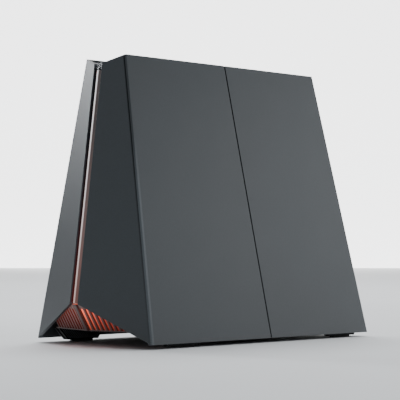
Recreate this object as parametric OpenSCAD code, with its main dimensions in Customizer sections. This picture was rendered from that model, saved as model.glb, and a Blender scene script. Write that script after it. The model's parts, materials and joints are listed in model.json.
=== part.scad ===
// Tower wireless router: two leaning side wings, a swept two-facet front with a
// light slot down its keel, and a lit grille tucked under the front's arched edge.
// X runs across the wings, -Y is the front, +Z is up. The origin is the middle of
// the overall box, on the surface that the feet stand on.

/* [Body] */
// Width across the wings at their lower edge
body_w = 124.6; // [110:0.1:140]
// Width across the wings at the top
top_w = 42.8; // [36:0.1:50]
// Overall height
body_h = 209.7; // [190:0.1:220]
// Height of the wings' lower edge above the surface
hem_z = 3.2; // [2.4:0.1:4]
// Distance from the middle to a wing's front lower corner
corner_front = 109.25; // [105:0.05:115]
// Distance from the middle to a wing's rear lower corner
corner_rear = 127; // [124:0.5:130]
// Wall thickness of the four outer shells
shell_t = 2.5; // [2:0.1:3]
// Gap between the front and rear shells of a wing
seam_gap = 1; // [0.4:0.1:1.2]
// Distance of the bevel between wing and front face below the sharp edge
edge_bevel = 0.5; // [0.3:0.05:0.8]

/* [Front] */
// Sweep of each front face back from the keel, in degrees
front_sweep = 20.19; // [18:0.01:22]
// Lean of the front faces backwards, in degrees
front_lean = 7.53; // [6.5:0.01:8.5]
// Half the width of the slot between the front faces
slot_half = 4.2; // [3.8:0.1:4.6]
// Height of the peak of the arched lower edge
arch_peak = 30.5; // [28:0.5:33]
// Width of the light guide's front edge
guide_w = 1.8; // [1.5:0.1:3]
// Pitch of the grille's ribs
rib_pitch = 4; // [3.5:0.1:5]
// Thickness of a grille rib
rib_t = 1.3; // [1:0.1:1.8]

/* [Rear] */
// Height of the top of the connector panel
io_top = 127; // [124:1:130]
// Face of the connector panel, measured back from the middle
io_face = 106; // [105.5:0.1:106.5]
// Pitch of the stacked network jacks
jack_pitch = 16; // [15.5:0.1:16.5]
// Travel of the small push buttons
button_travel = 0.6; // [0.4:0.1:0.8]

/* [Inside] */
// Edge length of the square fan
fan_size = 80; // [76:1:84]
// Number of fan blades
fan_blades = 7; // [5:1:9]
// Pitch of the heat sink fins
fin_pitch = 6.5; // [6:0.5:8]
// Length of an antenna board
antenna_len = 55; // [45:1:60]

/* [Hidden] */

$fn = 48;

// Colours
shell_grey = [0.27, 0.29, 0.30];
inner_black = [0.07, 0.07, 0.08];
rubber_black = [0.04, 0.04, 0.04];
glow_red = [0.85, 0.22, 0.14];
guide_white = [0.85, 0.83, 0.83];
board_green = [0.05, 0.24, 0.16];
metal_grey = [0.70, 0.71, 0.73];
steel_grey = [0.55, 0.56, 0.58];
chip_black = [0.10, 0.10, 0.11];
pad_blue = [0.45, 0.62, 0.72];
button_grey = [0.20, 0.21, 0.22];

// Slopes of the outer planes, as run per unit of rise or of width
side_slope = (body_w - top_w) / 2 / (body_h - hem_z);
side_angle = atan(side_slope);
sweep = tan(front_sweep);
lean = tan(front_lean);
rear_sweep = 0.30;
rear_lean = (corner_rear - 107.4 - rear_sweep * (body_w - top_w) / 2) / (body_h - hem_z);
valley = 0.32;
arch = (arch_peak - hem_z) / (body_w / 2 - slot_half);
keel_y = -corner_front - sweep * body_w / 2 - lean * hem_z;
seam_low = 13.73;
seam_lean = 0.0407;

// Outward unit normals of the right half's planes
function unit(v) = v / norm(v);
side_n = unit([1, 0, side_slope]);
front_n = unit([sweep, -1, lean]);
rear_n = unit([-rear_sweep, 1, rear_lean]);
valley_n = unit([-valley, 0, 1]);
arch_n = unit([-arch, 0, -1]);
bevel_n = unit(side_n + front_n);

// The facets that carry the grille: swept back from a ridge and undercut
facet_y = -119.2;
facet_z = 20;
facet_sweep = 0.21;
facet_undercut = 0.6;
facet_n = unit([facet_sweep, -1, -facet_undercut]);
grille_low = 11;
grille_high = 30.2;
grille_half = 46;

// Inner layout
// The tray's floor is high under the fan and low under the rear connectors
front_floor = 10.9;
rear_floor = 5;
floor_t = 2.5;
front_top = front_floor + floor_t;
step_y = 59.5;
tray_half = 57.2;
tray_rear = 104.5;
foot_y = [-72.5, 101.5];
foot_x = 54.8;
foot_pad = [4.4, 19.4, 2];
foot_block_w = 5.2;
foot_block_half = 14.7;
foot_base_z = 1.4;
carrier_gap = 0.5;
carrier_t = 2;
carrier_face = shell_t + carrier_gap + carrier_t;
board_t = 1.6;
board_low = 34;
board_high = 190;
board_front = -88;
board_rear = 98;
fan_y = -5;
fan_low = 14;
fan_h = 15;
fan_hole_pitch = 71.5;
fan_screw_end = front_floor + 0.8;
jack = [13.5, 21, 16];
jack_front = io_face - 0.5;
lan_low = 36;
panel_t = 2;
io_low = 8;
io_wall = 1.6;
io_half_low = 27.3;
io_taper = 0.0917;
tact_face = 97.7;
button_x = 6.5;
button_z = [108, 118];
power_button_at = [-5, 18];
antenna_w = 12;
antenna_y = [-88, -42, 42, 84];
antenna_s = 110;
lead_r = 0.65;
lead_z = 40;
lead_board_y = [-80, -42, 42, 76];
post_y = [-46, 8, 66];
reach = 600;

// Everything on the inner side of a plane through p with outward normal n
module half_space(p, n) {
    translate(p)
        rotate([0, acos(n[2]), atan2(n[1], n[0])])
            translate([-reach / 2, -reach / 2, -reach])
                cube(reach);
}

module inside_side(d = 0) half_space([body_w / 2, 0, hem_z] - d * side_n, side_n);
module inside_front(d = 0) half_space([0, keel_y, 0] - d * front_n, front_n);
module inside_rear(d = 0) half_space([body_w / 2, corner_rear, hem_z] - d * rear_n, rear_n);
module inside_valley(d = 0) half_space([top_w / 2, 0, body_h] - d * valley_n, valley_n);
module above_arch() half_space([body_w / 2, 0, hem_z], arch_n);
module inside_bevel()
    half_space([body_w / 2, -corner_front, hem_z] - edge_bevel * bevel_n, bevel_n);
module behind_facet(d = 0) half_space([0, facet_y, facet_z] - d * facet_n, facet_n);
module ahead_of_seam(d) half_space([0, seam_low - d, 0], unit([0, 1, seam_lean]));
module behind_seam(d) half_space([0, seam_low + d, 0], -unit([0, 1, seam_lean]));

// Places children on the right wing: d inwards from its face, y along it, s up it
module on_side(d, y, s) {
    translate([body_w / 2, 0, hem_z])
        rotate([0, -side_angle, 0])
            translate([-d, y, s])
                children();
}

// Places children in the keel's frame: Z runs up the leaning keel, Y goes inwards
module along_keel() {
    translate([0, keel_y, 0])
        rotate([-front_lean, 0, 0])
            children();
}

module both_sides() {
    children();
    mirror([1, 0, 0]) children();
}

// A box that is centred in X and given by its ranges in Y and Z
module span_box(w, y, z) {
    translate([-w / 2, y[0], z[0]])
        cube([w, y[1] - y[0], z[1] - z[0]]);
}

// A box between two corners
module corner_box(a, b) translate(a) cube(b - a);

// A bar from p to q with the given number of flats
module rod(p, q, r, flats) {
    d = q - p;
    translate(p)
        rotate([0, acos(d[2] / norm(d)), atan2(d[1], d[0])])
            cylinder(h = norm(d), r = r, $fn = flats);
}

// A pan-head screw along +Z: the head's seat is at zero and the shank goes down
module screw(head_r, head_h, shank_r, length) {
    difference() {
        cylinder(h = head_h, r = head_r);
        for (turn = [0, 90])
            rotate([0, 0, turn])
                translate([-head_r * 0.65, -0.3, head_h * 0.5])
                    cube([head_r * 1.3, 0.6, head_h]);
    }
    translate([0, 0, -length])
        cylinder(h = length, r = shank_r);
}

// ---- Outer shells ----

module wing_block() {
    intersection() {
        corner_box([slot_half, -140, hem_z], [body_w, 140, body_h]);
        inside_side();
        inside_front();
        inside_rear();
        inside_valley();
        inside_bevel();
    }
}

module side_wall() {
    difference() {
        wing_block();
        inside_side(shell_t);
    }
}

module front_wall() {
    intersection() {
        difference() {
            wing_block();
            inside_front(shell_t);
        }
        above_arch();
    }
}

module rear_wall() {
    intersection() {
        difference() {
            wing_block();
            inside_rear(shell_t);
        }
        half_space([io_half_low, 0, 0], -unit([1, 0, io_taper]));
    }
}

// Locating pins on a shell's inner face, at the given depths along the wing
pin_s = [30, 100, 172];
module shell_pins(depths, r) {
    for (y = depths, s = pin_s)
        on_side(carrier_face + 1, y, s)
            rotate([0, 90, 0])
                cylinder(h = carrier_face + 1 - shell_t / 2, r = r);
}

front_pin_y = [-80, -8];
rear_pin_y = [30, 96];
pin_r = 1.8;
pin_hole_r = 2.1;

module front_shell() {
    intersection() {
        union() {
            side_wall();
            front_wall();
        }
        ahead_of_seam(seam_gap / 2);
    }
    shell_pins(front_pin_y, pin_r);
}

module rear_shell() {
    intersection() {
        union() {
            side_wall();
            rear_wall();
        }
        behind_seam(seam_gap / 2);
    }
    shell_pins(rear_pin_y, pin_r);
}

module right_front_shell() color(shell_grey) front_shell();
module left_front_shell() color(shell_grey) mirror([1, 0, 0]) front_shell();
module right_rear_shell() color(shell_grey) rear_shell();
module left_rear_shell() color(shell_grey) mirror([1, 0, 0]) rear_shell();

// ---- Wing carriers, which hold the shells and the antennas ----

carrier_s = [12.5, 196];
window_y = [-65, -25, 63];
window_w = 23;
window_s = [[18, 66], [74, 124], [132, 182]];

function carrier_front(s) = -corner_front + 8 + 12.25 * s / 210;
function carrier_rear(s) = corner_rear - 7 - 19.6 * s / 210;

module carrier_plate() {
    on_side(carrier_face, 0, 0)
        rotate([90, 0, 90])
            linear_extrude(carrier_t)
                difference() {
                    polygon([
                        [carrier_front(carrier_s[0]), carrier_s[0]],
                        [carrier_rear(carrier_s[0]), carrier_s[0]],
                        [carrier_rear(carrier_s[1]), carrier_s[1]],
                        [carrier_front(carrier_s[1]), carrier_s[1]]
                    ]);
                    for (y = window_y, s = window_s)
                        translate([y - window_w / 2, s[0]])
                            square([window_w, s[1] - s[0]]);
                    for (y = concat(front_pin_y, rear_pin_y), s = pin_s)
                        translate([y, s])
                            circle(r = pin_hole_r);
                }
}

module carrier() {
    difference() {
        union() {
            carrier_plate();
            intersection() {
                for (y = post_y)
                    corner_box([44, y - 6, floor_at(y) + floor_t], [60, y + 6, front_top + 3]);
                inside_side(shell_t + carrier_gap);
            }
        }
        for (y = post_y)
            translate([49, y, 0])
                cylinder(h = 20, r = 1.7);
    }
}

module right_carrier() color(inner_black) carrier();
module left_carrier() color(inner_black) mirror([1, 0, 0]) carrier();

// ---- Base ----

function floor_at(y) = y < step_y ? front_floor : rear_floor;

// A foot's block, with sloping ends and a rim along each edge of its front end
module foot_block(y) {
    top = floor_at(y);
    rise = top - foot_base_z;
    front = y - foot_block_half;
    rear = y + foot_block_half;
    difference() {
        union() {
            translate([foot_x - foot_block_w / 2, 0, 0])
                rotate([90, 0, 90])
                    linear_extrude(foot_block_w)
                        polygon([
                            [front, foot_base_z], [rear, foot_base_z],
                            [rear + 0.65 * rise, top], [front - rise, top]
                        ]);
            for (x = [foot_x - foot_block_w / 2, foot_x + foot_block_w / 2 - 0.9])
                translate([x, 0, 0])
                    rotate([90, 0, 90])
                        linear_extrude(0.9)
                            polygon([
                                [front, foot_base_z], [front - 0.6, foot_base_z],
                                [front - rise - 0.6, top], [front - rise, top]
                            ]);
        }
        translate([foot_x - foot_pad[0] / 2 - 0.2, y - foot_pad[1] / 2 - 0.2, 0])
            cube([foot_pad[0] + 0.4, foot_pad[1] + 0.4, foot_pad[2]]);
    }
}

// The tray's floor in two levels, with an upright step between them
module tray_floor() {
    front = facet_y + facet_undercut * (facet_z - front_floor) + 5.8;
    side_front = front + facet_sweep * tray_half;
    side_rear = tray_rear + rear_sweep * tray_half;
    translate([0, 0, front_floor])
        linear_extrude(floor_t)
            polygon([[0, front], [tray_half, side_front], [tray_half, step_y], [0, step_y]]);
    translate([0, 0, rear_floor])
        linear_extrude(floor_t)
            polygon([
                [0, step_y - floor_t], [tray_half, step_y - floor_t],
                [tray_half, side_rear], [0, tray_rear]
            ]);
    corner_box([0, step_y - floor_t, rear_floor], [tray_half, step_y, front_top]);
}

// Slots under the fan, cut through the floor
module intake_slots() {
    for (i = [-5:5])
        translate([i * 6 - 1.5, fan_y - 32, 0])
            cube([3, 64, front_top + 1]);
}

board_upright_y = [-66, 52];

module board_uprights() {
    for (y = board_upright_y)
        difference() {
            span_box(14, [y - 4, y + 4], [front_top, board_low + 6]);
            span_box(board_t + 0.3, [y - 5, y + 5], [board_low, board_low + 7]);
        }
}

panel_post_x = 19;
panel_post_z = 14;

module base_tray() {
    color(inner_black) difference() {
        union() {
            both_sides() {
                tray_floor();
                for (y = foot_y) foot_block(y);
                for (sy = [-1, 1])
                    translate([fan_hole_pitch / 2, fan_y + sy * fan_hole_pitch / 2, front_floor])
                        cylinder(h = fan_low - front_floor, r = 4.5);
                corner_box([panel_post_x - 4, 94, rear_floor], [panel_post_x + 4, 103.7, 20]);
            }
            board_uprights();
        }
        intake_slots();
        both_sides() {
            for (y = post_y)
                translate([49, y, 0])
                    cylinder(h = 20, r = 1.7);
            for (sy = [-1, 1])
                translate([fan_hole_pitch / 2, fan_y + sy * fan_hole_pitch / 2, fan_screw_end - 0.3])
                    cylinder(h = 20, r = 1.9);
            translate([panel_post_x, 95, panel_post_z])
                rotate([-90, 0, 0])
                    cylinder(h = 20, r = 1.5);
        }
    }
}

module foot(side, y) {
    color(rubber_black)
        translate([side * foot_x - foot_pad[0] / 2, y - foot_pad[1] / 2, 0])
            cube(foot_pad);
}

module foot_front_right() foot(1, foot_y[0]);
module foot_front_left() foot(-1, foot_y[0]);
module foot_rear_right() foot(1, foot_y[1]);
module foot_rear_left() foot(-1, foot_y[1]);

// ---- Lit grille under the arch ----

// Layer of the facets between two depths, clear of the shell above it
module facet_layer(d0, d1, half, low) {
    intersection() {
        difference() {
            behind_facet(d0);
            behind_facet(d1);
        }
        inside_front(shell_t + 0.4);
        corner_box([0, -140, low], [half, 0, grille_high]);
    }
}

rib_depth = 1.6;
ridge_half = 1.4;
rib_count = floor((grille_half - 4) / rib_pitch);

module grille_half_ribs() {
    intersection() {
        facet_layer(0, rib_depth, grille_half, grille_low);
        union() {
            for (i = [0:rib_count - 1])
                translate([5.2 + i * rib_pitch - rib_t / 2, -140, 0])
                    cube([rib_t, 140, 60]);
            corner_box([0, -140, grille_low], [grille_half, 0, grille_low + 0.8]);
        }
    }
    facet_layer(rib_depth - 1.2, rib_depth, grille_half, grille_low + 16);
    intersection() {
        difference() {
            behind_facet(-1);
            behind_facet(rib_depth);
        }
        inside_front();
        corner_box([0, -140, grille_low], [ridge_half, 0, grille_high]);
    }
}

module front_grille() color(inner_black) both_sides() grille_half_ribs();

module glow_diffuser() color(glow_red) both_sides()
    facet_layer(rib_depth + 0.2, rib_depth + 2, grille_half - 2, grille_low + 0.4);

module glow_board() {
    color(board_green) both_sides()
        facet_layer(9, 10.4, grille_half - 6, grille_low + 2.8);
    color(guide_white) both_sides()
        intersection() {
            facet_layer(8, 9, grille_half - 8, grille_low + 4);
            for (x = [6:9:36])
                corner_box([x, -140, grille_low + 4], [x + 3, 0, grille_low + 7]);
        }
}

// ---- Light slot down the keel ----

keel_z = [32.6, 201.2];
guide_low = 31.7;
guide_y = [1.75, 8.4];
channel_floor = 10.6;
liner_y = [2.6, 5.6];

// A box in the keel's frame, centred in X
module keel_box(w, y, z) along_keel() span_box(w, y, z);

module light_guide() color(guide_white)
    keel_box(guide_w, guide_y, [guide_low, keel_z[1]]);

module keel_channel() {
    color(inner_black) {
        keel_box(28, [channel_floor, channel_floor + 1.5], keel_z);
        both_sides()
            along_keel() {
                translate([slot_half + 0.2, liner_y[1], keel_z[0]])
                    cube([1.2, channel_floor - liner_y[1], keel_z[1] - keel_z[0]]);
                translate([slot_half - 0.4, liner_y[0], keel_z[0]])
                    cube([0.35, channel_floor - liner_y[0], keel_z[1] - keel_z[0]]);
            }
    }
}

module keel_led_strip() {
    color(board_green) keel_box(7, [9.2, 10.4], [keel_z[0] + 2, keel_z[1] - 2]);
    color(guide_white)
        for (z = [40:13:190])
            keel_box(2, [8.5, 9.2], [z, z + 3]);
}

// ---- Top vent in the valley between the wings ----

vent_y = [-93.6, 97];
vent_in = 1.2;
vent_t = 2;
slat_pitch = 7;
slat_t = 2.4;

module valley_layer(edge) {
    intersection() {
        difference() {
            inside_valley(vent_in);
            inside_valley(vent_in + vent_t);
        }
        inside_side(shell_t + 0.4 + edge);
        corner_box([0, vent_y[0] + edge, 190], [40, vent_y[1] - edge, body_h]);
    }
}

module vent_half(turn) {
    difference() {
        valley_layer(0);
        valley_layer_cutter();
    }
    intersection() {
        valley_layer(1);
        for (y = [vent_y[0] - 20:slat_pitch:vent_y[1] + 20])
            translate([0, y, 190])
                rotate([0, 0, turn])
                    translate([-60, -slat_t / 2, 0])
                        cube([120, slat_t, 20]);
    }
}

// The open area of one valley side, inset from its border
module valley_layer_cutter() {
    intersection() {
        inside_side(shell_t + 2.4);
        corner_box([1.5, vent_y[0] + 3, 190], [40, vent_y[1] - 3, body_h]);
    }
}

// The vent's front end: a sloping plate that closes the top of the slot
nose_z = [201.6, 207.7];

module vent_nose() {
    plate = [[2.1, nose_z[0]], [10, nose_z[1]], [13, nose_z[1]], [13, nose_z[0]]];
    along_keel()
        translate([-3.9, 0, 0])
            rotate([90, 0, 90])
                linear_extrude(7.8)
                    polygon(plate);
}

module top_vent() {
    color(inner_black) {
        vent_half(38);
        mirror([1, 0, 0]) vent_half(-38);
        intersection() {
            vent_nose();
            both_sides() inside_valley(0.2);
            corner_box([-4, -130, 190], [4, vent_y[0] - 0.2, body_h]);
        }
    }
}

// ---- Rear panels ----

// Upright prism of the recess between the rear shells, inset by d
module recess_prism(d, y, z) {
    half_low = io_half_low - d - io_taper * z[0];
    half_high = io_half_low - d - io_taper * z[1];
    translate([0, y[1], 0])
        rotate([90, 0, 0])
            linear_extrude(y[1] - y[0])
                polygon([
                    [0, z[0]], [half_low, z[0]], [half_high, z[1]], [0, z[1]]
                ]);
}

vent_face_lean = 0.0585;

// Everything ahead of the leaning face of the rear vent, moved back by d
module ahead_of_vent_face(d)
    half_space([0, io_face + d, io_top], unit([0, 1, vent_face_lean]));

module panel_half(z) {
    difference() {
        intersection() {
            recess_prism(0.3, [io_face - panel_t, 130], z);
            inside_rear(0.5);
        }
        recess_prism(0.3 + io_wall, [io_face, 131], [z[0] + io_wall, z[1] + 1]);
    }
}

// Straight-sided hole through the connector panel, given by its ranges in X and Z
module panel_hole(x, z) corner_box([x[0], 100, z[0]], [x[1], 110, z[1]]);

cap_w = 10;
cap_h = 4.5;
fit_gap = 0.3;

// Outline of a small button, with round ends, grown by g and extruded along Y
module cap_shape(x, z, g, y) {
    translate([x, y[1], z])
        rotate([90, 0, 0])
            linear_extrude(y[1] - y[0])
                union() {
                    square([cap_w - cap_h, cap_h + 2 * g], center = true);
                    for (side = [-1, 1])
                        translate([side * (cap_w - cap_h) / 2, 0])
                            circle(r = cap_h / 2 + g);
                }
}

// A round bar along Y
module bar_y(x, z, r, y) {
    translate([x, y[0], z])
        rotate([-90, 0, 0])
            cylinder(h = y[1] - y[0], r = r);
}

usb = [5.7, 14.3, 13.1];
usb_z = 26;
sfp = [9.9, 49.5, 15];
sfp_z = 63.5;
fast_wan_z = 84;
fast_lan_z = 44;
power_jack_at = [6.5, 21.5];
power_jack_half = 4.8;
side_x = board_t / 2;
hole_gap = 0.3;
power_cap_r = 4.2;
reset_r = 1;

module connector_panel() {
    lan_high = lan_low + 4 * jack_pitch;
    color(inner_black) difference() {
        both_sides() panel_half([io_low, io_top]);
        panel_hole([side_x - hole_gap, side_x + jack[0] + hole_gap],
                   [lan_low - hole_gap, lan_high + hole_gap]);
        for (z = [fast_wan_z, fast_lan_z])
            panel_hole([-side_x - jack[0] - hole_gap, -side_x + hole_gap],
                       [z - hole_gap, z + jack[2] + hole_gap]);
        panel_hole([-side_x - sfp[0] - hole_gap, -side_x + hole_gap],
                   [sfp_z - hole_gap, sfp_z + sfp[2] + hole_gap]);
        panel_hole([-side_x - usb[0] - hole_gap, -side_x + hole_gap],
                   [usb_z - hole_gap, usb_z + usb[2] + hole_gap]);
        panel_hole([side_x - hole_gap, side_x + 11 + hole_gap],
                   [power_jack_at[1] - power_jack_half - hole_gap,
                    power_jack_at[1] + power_jack_half + hole_gap]);
        bar_y(power_button_at[0], power_button_at[1], power_cap_r + fit_gap, [100, 110]);
        for (z = button_z) cap_shape(button_x, z, fit_gap, [100, 110]);
        cap_shape(-button_x, button_z[0], fit_gap, [100, 110]);
        bar_y(-button_x, button_z[1], reset_r + fit_gap, [100, 110]);
        for (side = [-1, 1]) bar_y(side * panel_post_x, panel_post_z, 1.7, [100, 110]);
    }
}

vent_z = [127.5, 206];

module rear_vent_half() {
    difference() {
        intersection() {
            recess_prism(0.3, [80, 130], vent_z);
            inside_rear(0.5);
            inside_valley(1);
        }
        ahead_of_vent_face(-panel_t);
        difference() {
            recess_prism(0.3 + io_wall, [80, 131], [vent_z[0] + io_wall, vent_z[1] + 1]);
            ahead_of_vent_face(0);
        }
        intersection() {
            recess_prism(0.3 + io_wall + 2, [80, 131], [vent_z[0] + 4, vent_z[1] - 6]);
            for (z = [vent_z[0] + 5:5:vent_z[1] - 10])
                corner_box([-1, 80, z], [30, 131, z + 2.6]);
        }
    }
}

module rear_vent() color(inner_black) both_sides() rear_vent_half();

// ---- Boards and what is on them ----

module main_board() {
    color(board_green)
        translate([-board_t / 2, 0, 0])
            rotate([90, 0, 90])
                linear_extrude(board_t)
                    difference() {
                        polygon([
                            [board_front, board_low], [62, board_low], [62, 12],
                            [board_rear, 12], [board_rear, 101.5], [91, 101.5],
                            [91, 124.5], [96, 124.5], [96, board_high],
                            [board_front, board_high]
                        ]);
                        for (p = sink_holes) translate(p) circle(r = 1.7);
                    }
}

module button_board()
    color(board_green) span_box(26, [93, 94.2], [103, 123]);

// Chips as [y, z, width, height] on the right face of the board
chips = [[-12, 96, 27, 27], [28, 100, 14, 18], [28, 70, 14, 18], [-50, 76, 17, 17]];

module processor_chips() {
    color(chip_black)
        for (c = chips)
            translate([side_x, c[0], c[1]])
                cube([2, c[2], c[3]]);
}

module right_thermal_pads() {
    color(pad_blue)
        for (c = chips)
            translate([side_x + 2, c[0] + 1, c[1] + 1])
                cube([sink_base - side_x - 2, c[2] - 2, c[3] - 2]);
}

// Radio shields as [y, z] of their lower front corner on the left face
shields = [[-62, 62], [-16, 62], [-62, 118], [-16, 118]];
shield = [2.5, 36, 40];

module radio_shields() {
    color(metal_grey)
        for (s = shields)
            difference() {
                translate([-side_x - shield[0], s[0], s[1]])
                    cube(shield);
                translate([-side_x - shield[0] + 0.4, s[0] + 0.4, s[1] + 0.4])
                    cube([shield[0], shield[1] - 0.8, shield[2] - 0.8]);
            }
}

module left_thermal_pads() {
    color(pad_blue)
        for (s = shields)
            translate([-sink_base, s[0] + 4, s[1] + 4])
                cube([sink_base - side_x - shield[0], shield[1] - 8, shield[2] - 8]);
}

// Chokes and capacitors of the power input, beside the power jack
module power_filter() {
    color(chip_black) {
        corner_box([side_x, 66, 16], [side_x + 7, 76, 26]);
        corner_box([side_x, 66, 28], [side_x + 5, 73, 35]);
    }
    color(steel_grey)
        for (z = [18, 28])
            translate([side_x, 83, z])
                rotate([0, 90, 0])
                    cylinder(h = 8, r = 3.5);
}

sink_base = 4.3;
sink_plate = 3;
sink_y = [-75, 55];
sink_z = [46, 176];
sink_reach = 24;
fin_t = 1.2;
fin_count = floor((sink_y[1] - sink_y[0] - fin_t) / fin_pitch);

// Screws stand midway between two fins, one fin in from each end
sink_holes = [
    for (i = [1, fin_count - 1], z = [54, 168])
        [sink_y[0] + i * fin_pitch + (fin_pitch + fin_t) / 2, z]
];

module heat_sink() {
    difference() {
        union() {
            corner_box([sink_base, sink_y[0], sink_z[0]],
                       [sink_base + sink_plate, sink_y[1], sink_z[1]]);
            intersection() {
                for (y = [sink_y[0]:fin_pitch:sink_y[1] - fin_t])
                    corner_box([sink_base + sink_plate / 2, y, sink_z[0]],
                               [sink_reach, y + fin_t, sink_z[1]]);
                inside_side(15);
            }
        }
        for (p = sink_holes)
            translate([0, p[0], p[1]])
                rotate([0, 90, 0])
                    cylinder(h = 20, r = 1.6);
    }
}

module right_heat_sink() color(metal_grey) heat_sink();
module left_heat_sink() color(metal_grey) mirror([1, 0, 0]) heat_sink();

// ---- Fan ----

fan_hub_r = 14;
fan_bore_r = 38;
axle_r = 1.5;
axle_gap = 0.05;
blade_tip_r = 37;

module fan_frame() {
    color(chip_black) translate([0, fan_y, fan_low]) difference() {
        union() {
            difference() {
                translate([-fan_size / 2, -fan_size / 2, 0])
                    cube([fan_size, fan_size, fan_h]);
                translate([0, 0, -1])
                    cylinder(h = fan_h + 2, r = fan_bore_r, $fn = 96);
            }
            cylinder(h = 2.4, r = fan_hub_r);
            for (turn = [30:120:270])
                rotate([0, 0, turn])
                    translate([fan_hub_r - 1, -2, 0])
                        cube([fan_bore_r - fan_hub_r + 2, 4, 2.4]);
            cylinder(h = 8, r = 3.5);
        }
        translate([0, 0, 1])
            cylinder(h = 20, r = axle_r + axle_gap);
        for (sx = [-1, 1], sy = [-1, 1])
            translate([sx * fan_hole_pitch / 2, sy * fan_hole_pitch / 2, -1])
                cylinder(h = fan_h + 2, r = 2.2);
    }
}

module fan_blade() {
    translate([fan_hub_r - 1.2, -0.7, 8.6])
        rotate([38, 0, 0])
            translate([0, 0, -7])
                cube([blade_tip_r - fan_hub_r + 3, 1.4, 14]);
}

module fan_rotor() {
    color(chip_black) translate([0, fan_y, fan_low]) {
        difference() {
            translate([0, 0, 3.2])
                cylinder(h = 11, r = fan_hub_r - 0.5);
            translate([0, 0, 3])
                cylinder(h = 9.4, r = fan_hub_r - 2);
        }
        translate([0, 0, 1.4])
            cylinder(h = 11.4, r = axle_r);
        intersection() {
            for (i = [0:fan_blades - 1])
                rotate([0, 0, i * 360 / fan_blades])
                    fan_blade();
            difference() {
                translate([0, 0, 3.4])
                    cylinder(h = 10.6, r = blade_tip_r, $fn = 96);
                translate([0, 0, 3])
                    cylinder(h = 12, r = fan_hub_r - 1);
            }
        }
    }
}

// ---- Connectors ----

jack_cavity = [8, 13.5, 12];
latch_slot = [2.4, 13.5, 6.4];

// A run of stacked network jacks on the right face, opening to the rear
module jack_body(z, count) {
    difference() {
        translate([side_x, jack_front - jack[1], z])
            cube([jack[0], jack[1], count * jack_pitch]);
        for (i = [0:count - 1])
            translate([side_x, jack_front - jack_cavity[1], z + (i + 0.5) * jack_pitch]) {
                translate([1.8, 0, -jack_cavity[2] / 2])
                    cube([jack_cavity[0], jack_cavity[1] + 1, jack_cavity[2]]);
                translate([1.8 + jack_cavity[0] - 0.1, 0, -latch_slot[2] / 2])
                    cube([latch_slot[0], latch_slot[1] + 1, latch_slot[2]]);
            }
    }
}

module lan_jacks() color(steel_grey) jack_body(lan_low, 4);
module fast_wan_jack() color(steel_grey) mirror([1, 0, 0]) jack_body(fast_wan_z, 1);
module fast_lan_jack() color(steel_grey) mirror([1, 0, 0]) jack_body(fast_lan_z, 1);

module sfp_cage() {
    color(metal_grey)
        difference() {
            translate([-side_x - sfp[0], io_face + 0.4 - sfp[1], sfp_z])
                cube(sfp);
            translate([-side_x - sfp[0] + 0.5, io_face + 0.9 - sfp[1], sfp_z + 0.5])
                cube([sfp[0] - 1, sfp[1], sfp[2] - 1]);
        }
}

module usb_socket() {
    color(metal_grey)
        difference() {
            translate([-side_x - usb[0], io_face - usb[1], usb_z])
                cube(usb);
            translate([-side_x - usb[0] + 0.4, io_face + 2 - usb[1], usb_z + 0.4])
                cube([usb[0] - 0.8, usb[1], usb[2] - 0.8]);
        }
    color(chip_black)
        translate([-side_x - 2.8, io_face - usb[1] + 1, usb_z + 1])
            cube([1.9, usb[1] - 2, usb[2] - 2]);
}

module power_jack() {
    color(chip_black) {
        difference() {
            corner_box([side_x, 91.5, power_jack_at[1] - power_jack_half],
                       [side_x + 11, jack_front, power_jack_at[1] + power_jack_half]);
            bar_y(power_jack_at[0], power_jack_at[1], 3.15, [95, 110]);
        }
        bar_y(power_jack_at[0], power_jack_at[1], 1.05, [94, jack_front - 1]);
    }
}

// ---- Switches and buttons ----

stem_r = 1.5;
stem_hole_r = 1.8;
stem_end = 97.4;

module power_switch() {
    color(chip_black)
        difference() {
            corner_box([-side_x - 8.5, 88, 13.5], [-side_x, 98, 22.5]);
            bar_y(power_button_at[0], power_button_at[1], stem_hole_r, [94, 99]);
        }
}

button_places = [
    [button_x, button_z[0]], [button_x, button_z[1]],
    [-button_x, button_z[0]], [-button_x, button_z[1]]
];

module tact_switches() {
    color(chip_black)
        for (p = button_places)
            difference() {
                translate([p[0] - 3, 94.2, p[1] - 3])
                    cube([6, tact_face - 94.2, 6]);
                bar_y(p[0], p[1], stem_hole_r, [stem_end - button_travel - 0.6, 98]);
            }
}

module small_button(x, z) {
    color(button_grey) {
        cap_shape(x, z, 0, [101, io_face + 0.8]);
        cap_shape(x, z, 1.1, [102.4, 103.7]);
        bar_y(x, z, stem_r, [stem_end, 101.2]);
    }
}

module radio_button() small_button(button_x, button_z[0]);
module pairing_button() small_button(button_x, button_z[1]);
module light_button() small_button(-button_x, button_z[0]);

module reset_button() {
    color(button_grey) {
        bar_y(-button_x, button_z[1], reset_r, [101, io_face - 1]);
        bar_y(-button_x, button_z[1], reset_r + 1.2, [102.4, 103.7]);
        bar_y(-button_x, button_z[1], stem_r, [stem_end, 101.2]);
    }
}

module power_button() {
    color(button_grey) {
        bar_y(power_button_at[0], power_button_at[1], power_cap_r, [100.6, io_face + 1.6]);
        bar_y(power_button_at[0], power_button_at[1], power_cap_r + 1, [102.4, 103.7]);
        bar_y(power_button_at[0], power_button_at[1], stem_r, [stem_end, 100.8]);
    }
}

// ---- Antennas and their leads ----

antenna_t = 1;

module antenna(i) {
    on_side(carrier_face + antenna_t, antenna_y[i] - antenna_w / 2, antenna_s)
        cube([antenna_t, antenna_w, antenna_len]);
}

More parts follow.
